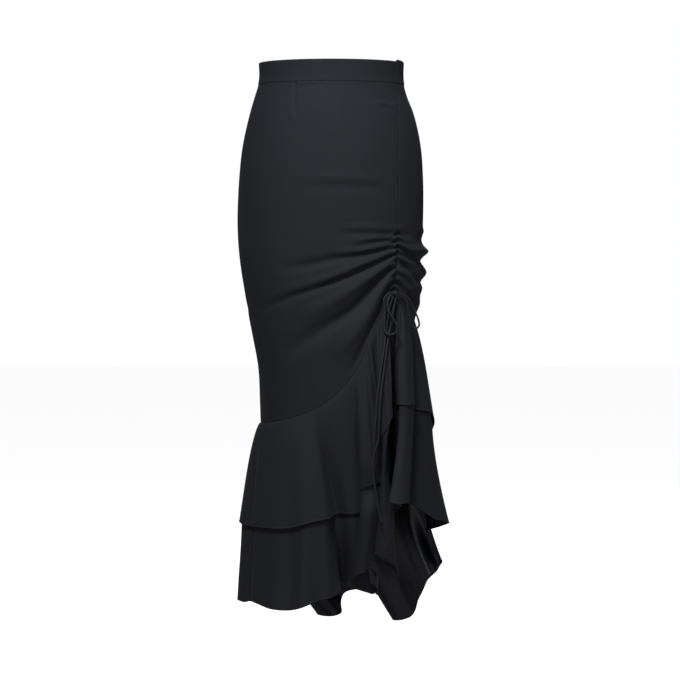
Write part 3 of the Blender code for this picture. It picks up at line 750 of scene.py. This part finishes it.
# ---- The flounces: two tiers of satin-back crepe cut on the curve, so that they fall in flutes. The
# gathers pull them up at the wearer's left front, where they lie in folds in front of each other.
# A row for each bend: the angle where it leaves the seam, the point that it passes at the upper hem
# and the point where it ends at the lower hem. Where x runs back, the cloth folds over.
FLOUNCE_FOLDS = (
    (-90, -163, 0, -816, -169, 0, -958),
    (-76, -155, -36, -819, -157, -40, -958),
    (-70, -142, -44, -820, -143, -44, -954),
    (-62, -135, -74, -818, -137, -72, -951),
    (-48, -112, -104, -817, -118, -111, -957),
    (-36, -81, -126, -815, -88, -139, -958),
    (-28, -53, -137, -809, -56, -149, -953),
    (-22.5, -29, -140, -801, -27, -148, -941),
    (-18, -8, -134, -797, 2, -137, -935),
    (-13, 1, -98, -793, 12, -90, -930),
    (-7, 16, -101, -790, 23, -63, -923),
    (0, 40, -108, -790, 42, -93, -926),
    (6, 62, -101, -784, 61, -89, -933),
    (11, 76, -92, -775, 76, -68, -939),
    (15, 81, -104, -765, 80, -75, -928),
    (18.5, 52, -127, -746, 36, -107, -897),
    (22, 69, -136, -738, 53, -121, -895),
    (25.5, 85, -122, -732, 68, -112, -887),
    (28.0, 99, -104, -718, 117, -84, -936),
    (28.9, 102, -107, -712, 114, -92, -889),
    (30.5, 104, -114, -702, 86, -112, -870),
    (33, 90, -129, -655, 75, -118, -862),
    (37, 98, -135, -636, 90, -128, -854),
    (39, 105, -123, -616, 109, -118, -823),
    (41.4, 104, -67, -604, 112, -53, -800),
    (46.3, 115, -65, -600, 121, -53, -785),
    (48.6, 119.5, -96, -598, 121, -115, -775),
    (50.6, 121, -106, -597, 100, -142, -764),
    (54, 133, -107, -598, 110, -150, -768),
    (60, 146, -88, -598, 131, -138, -769),
    (66, 139, -60, -606, 141, -72, -775),
    (73, 156, -52, -610, 160, -60, -789),
    (81, 174, -37, -615, 187, -38, -807),
    (90, 181, 0, -629, 212, 0, -818),
    (101, 181, 46, -652, 201, 34, -829),
    (112, 176, 72, -682, 177, 68, -846),
    (124, 167, 97, -716, 189, 92, -884),
    (136, 151, 118, -752, 200, 118, -915),
    (148, 122, 135, -781, 180, 116, -940),
    (158, 92, 145, -800, 162, 148, -982),
    (166, 62, 149, -812, 152, 172, -1014),
    (174, 30, 153, -818, 112, 170, -1022),
    (180, 4, 154, -821, 100, 190, -984),
    (189, -32, 154, -821, 62, 198, -966),
    (198, -66, 148, -816, 24, 192, -974),
    (204, -85, 142, -815, 17, 168, -1010),
    (215, -115, 129, -813, -24, 172, -1012),
    (221, -127, 120, -812, -34, 192, -992),
    (231, -141, 105, -811, -92, 162, -990),
    (243, -152, 81, -811, -131, 119, -983),
    (258, -161, 43, -814, -161, 60, -970),
)
# the rows between which the cloth lies folded over itself
FOLDED = (12, 32)
# how far the seam edge lies inside the panels and up behind them, how the lower tier flares
FLOUNCE_UNDER, SEAM_TUCK, FLARE = 2.2, 4.0, 1.6
# the upper tier above the lower one: at its hem and midway, in the open and between folds
HEM_LIFT, FOLD_LIFT, SPRING, FOLD_SPRING, SPRING_EARLY = 5.0, 2.4, 7.0, 3.6, 0.55
# columns to a row, rows past each side
PER_FOLD, MARGIN = 12, 3
# the hem: its extra thickness, how much of that shows outside, how wide it is and where it is full
ROLL, ROLL_OUT, ROLL_WIDE, ROLL_FULL = 1.1, 0.4, 2.2, 1.2
# slow waves in the open cloth, away from the folds, and fine ripples by the gathers
WAVE_HIGH, CALM_ROWS, CALM_FADE = 2.3, 8, 6
RIPPLE_HIGH, RIPPLE_DEG, RIPPLE_HALF = 1.7, 38, 16
# the narrowed fold and the hollow beside it: how far, over how many rows, and how far down
PINCH, PINCH_ROWS, PINCH_END = 9.0, 1.1, 0.75
POCKET, POCKET_ROWS, POCKET_DOWN, POCKET_HALF = 15.0, 1.3, 1.06, 0.17
POCKET_ROW, TONGUE_ROW, SIDE_ROW = (
    next(n for n, row in enumerate(FLOUNCE_FOLDS) if row[0] == deg) for deg in (22, 39, 90)
)
LAST_ROW = len(FLOUNCE_FOLDS)


def flounces(first, last, downs):
    """Outer points of the flounces between two rows of the table, and MARGIN rows past them. downs
    runs from 0 at the seam past 1 at the upper hem to 2 at the lower hem."""
    rows = np.array(FLOUNCE_FOLDS, float)
    turn = np.array([360.0, 0, 0, 0, 0, 0, 0])
    ring = np.vstack([rows[-MARGIN:] - turn, rows, rows[: MARGIN + 1] + turn])
    step = np.linalg.norm(np.diff(ring[:, 1:], axis=0), axis=1) ** 0.5
    knots = np.concatenate([[0], np.cumsum(step)])
    index = np.arange((last - first + 2 * MARGIN) * PER_FOLD + 1) / PER_FOLD + first
    row = smooth(knots, ring, np.interp(index, np.arange(len(knots)), knots))
    top = body(row[:, 0], seam_z(row[:, 0]) + SEAM_TUCK, -FLOUNCE_UNDER)
    hem, low = row[:, 1:4], row[:, 4:7]
    d = np.asarray(downs)[:, None, None]
    past = np.maximum(d - 1, 0)
    flare = np.concatenate([past**FLARE, past**FLARE, past], axis=-1)
    made = np.where(d > 1, hem + (low - hem) * flare, top + (hem - top) * d)
    # The fold next to the long flute narrows below the upper hem, and the one beside it sinks in.
    fold = (index - MARGIN) % LAST_ROW
    down = np.asarray(downs)[:, None]
    below = np.sin(math.pi * np.clip((down - 1) / PINCH_END, 0, 1))
    made[..., 0] -= PINCH * bell((fold - TONGUE_ROW) / PINCH_ROWS) * below
    sunk = bell((fold - POCKET_ROW) / POCKET_ROWS) * bell((down - POCKET_DOWN) / POCKET_HALF)
    made[..., 1] += POCKET * sunk
    # The waves' spacing drifts as they go round, so that no two flutes are alike.
    calm = np.clip((np.abs(fold - sum(FOLDED) / 2) - CALM_ROWS) / CALM_FADE, 0, 1)
    wave = np.sin(2.3 * fold + 0.9 * np.sin(0.8 * fold)) + 0.6 * np.sin(4.1 * fold + 1.7)
    ripple = np.sin(7.5 * fold + 1.2 * np.sin(1.9 * fold))
    ripple = ripple * bell((row[:, 0] - RIPPLE_DEG) / RIPPLE_HALF)
    sway = WAVE_HIGH * calm * wave * np.minimum(down, 1.7) ** 1.5
    sway = sway + RIPPLE_HIGH * ripple * np.minimum(down * 8, 1) * np.clip(1.25 - down, 0, 1)
    return made + normals(made) * sway[..., None]


def lift(points, downs, folded):
    """Moves the lower layer's points out to the upper layer, further at the hem than at the seam,
    and less where the cloth lies folded over itself."""
    width = 2 * PER_FOLD
    window = np.full(2 * width + 1, 1 / (2 * width + 1))
    less = np.convolve(np.pad(folded * 1.0, width, mode="edge"), window, "valid")
    high = HEM_LIFT + (FOLD_LIFT - HEM_LIFT) * less
    spring = SPRING + (FOLD_SPRING - SPRING) * less
    down = np.asarray(downs)[:, None]
    amount = FLOUNCE_UNDER + (high - FLOUNCE_UNDER) * down
    amount = amount + spring * np.sin(math.pi * down**SPRING_EARLY)
    # Each point moves the way that its neighbours do on average, so that the layer doesn't bunch up in
    # the hollows, and level near the seam, so that it keeps its edge.
    way = normals(points)
    way[..., 2] *= np.minimum(down * 2, 1)
    spread = np.arange(-width, width + 1)
    soft = np.exp(-0.5 * (spread / (0.5 * PER_FOLD)) ** 2)
    soft /= soft.sum()
    padded = np.pad(way, ((0, 0), (width, width), (0, 0)), mode="edge")
    way = sum(weight * padded[:, k : k + points.shape[1]] for k, weight in enumerate(soft))
    return points + way * amount[..., None]


def tier(name, downs, raised, first, last):
    """One tier between two rows of the table, with its seam edge turned in and its hem rolled. It is
    made a margin too wide and then cut to width, so that its sides bend like the next piece's."""
    points = flounces(first, last, downs)
    if raised:
        fold = (np.arange(points.shape[1]) / PER_FOLD + first - MARGIN) % LAST_ROW
        points = lift(points, downs, (fold > FOLDED[0]) & (fold < FOLDED[1]))
    out = normals(points)
    drop = np.linalg.norm(np.diff(points, axis=0), axis=-1)
    from_seam = np.vstack([0 * drop[:1], np.cumsum(drop, axis=0)])
    from_hem = from_seam[-1] - from_seam
    points = points + out * pressed(from_seam, 1.0, 2.0)[..., None]
    rolled = bell(np.maximum(from_hem - ROLL_FULL, 0) / (ROLL_WIDE / 2))
    points = points + out * (ROLL_OUT * ROLL * rolled)[..., None]
    kept = slice(MARGIN * PER_FOLD, -MARGIN * PER_FOLD)
    made = shell(name + "_cloth", points[:, kept], WALL + ROLL * rolled[:, kept])
    stand_in(made, name)


UPPER_DOWN = np.concatenate([np.linspace(0, 0.97, 50), np.linspace(0.975, 1, 8)])
LOWER_DOWN = np.concatenate(
    [np.linspace(0, 0.95, 26), np.linspace(0.97, 1.97, 50), np.linspace(1.975, 2, 8)]
)
# name, rows down, whether it is the upper tier, flat size and area, what it hangs on or lies on
for name, downs, upper, flat, area, rests_on in (
    ("lower_flounce_front", LOWER_DOWN, False, (0.60, 0.48), 0.267, "front_panel_cloth"),
    ("lower_flounce_back", LOWER_DOWN, False, (0.62, 0.45), 0.212, "back_panel_left_cloth"),
    ("upper_flounce_front", UPPER_DOWN, True, (0.55, 0.33), 0.124, "lower_flounce_front_cloth"),
    ("upper_flounce_back", UPPER_DOWN, True, (0.50, 0.28), 0.099, "lower_flounce_back_cloth"),
):
    first, last = (0, SIDE_ROW) if name.endswith("front") else (SIDE_ROW, LAST_ROW)
    tier(name, downs, upper, first, last)


# ---- The zip: nylon coil on woven tape, sewn inside the centre back seam, with an enamelled slider
# that comes out through the slot in the waistband and a pull tab that hangs on its bar.
# Cast zinc under a thin stoved enamel: smooth, with a clear highlight, a little dulled by handling.
enamel = bpy.data.materials.new("black_enamelled_zinc")
enamel.use_nodes = True
gloss = enamel.node_tree.nodes["Principled BSDF"]
place = node(enamel, "ShaderNodeTexCoord").outputs["Object"]
speck = node(enamel, "ShaderNodeTexNoise", {"Vector": place, "Scale": 900.0, "Detail": 2.0})
worn = node(
    enamel, "ShaderNodeMapRange", {"Value": speck.outputs["Fac"], "To Min": 0.22, "To Max": 0.4}
)
enamel.node_tree.links.new(worn.outputs["Result"], gloss.inputs["Roughness"])
gloss.inputs["Base Color"].default_value = rgb("#1b1b1d")
gloss.inputs["Coat Weight"].default_value = 0.6
for name in ("zip_slider", "zip_pull"):
    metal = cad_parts[name]
    metal.data.materials.clear()
    metal.data.materials.append(enamel)

# Woven polyester tape with a nylon coil stitched along it: flat black, with a dull gleam.
TAPE = cloth_material("black_zip_tape", "#0f0f12", 0.6, 0.03, 0.8, 0.1, spec=0.25)
# its two ends, half its width, how far it lies inside the panels, its wall, the coil's rise
TAPE_TOP, TAPE_END, TAPE_HALF, TAPE_IN, TAPE_WALL, COIL = 14.0, -190.0, 5.0, 2.4, 0.5, 0.7
tape_z = np.linspace(TAPE_TOP, TAPE_END, 90)
tape_mid, tape_out = bare_body(np.full(len(tape_z), 180.0), tape_z)
beside = np.linspace(TAPE_HALF, -TAPE_HALF, 13)
tape_grid = (tape_mid - tape_out * TAPE_IN)[:, None] + beside[None, :, None] * np.array((1.0, 0, 0))
tape = shell("zip_tape_and_coil", tape_grid, TAPE_WALL + COIL * bell(beside / 2), (TAPE, TAPE))
stand_in(tape, "zip_chain")
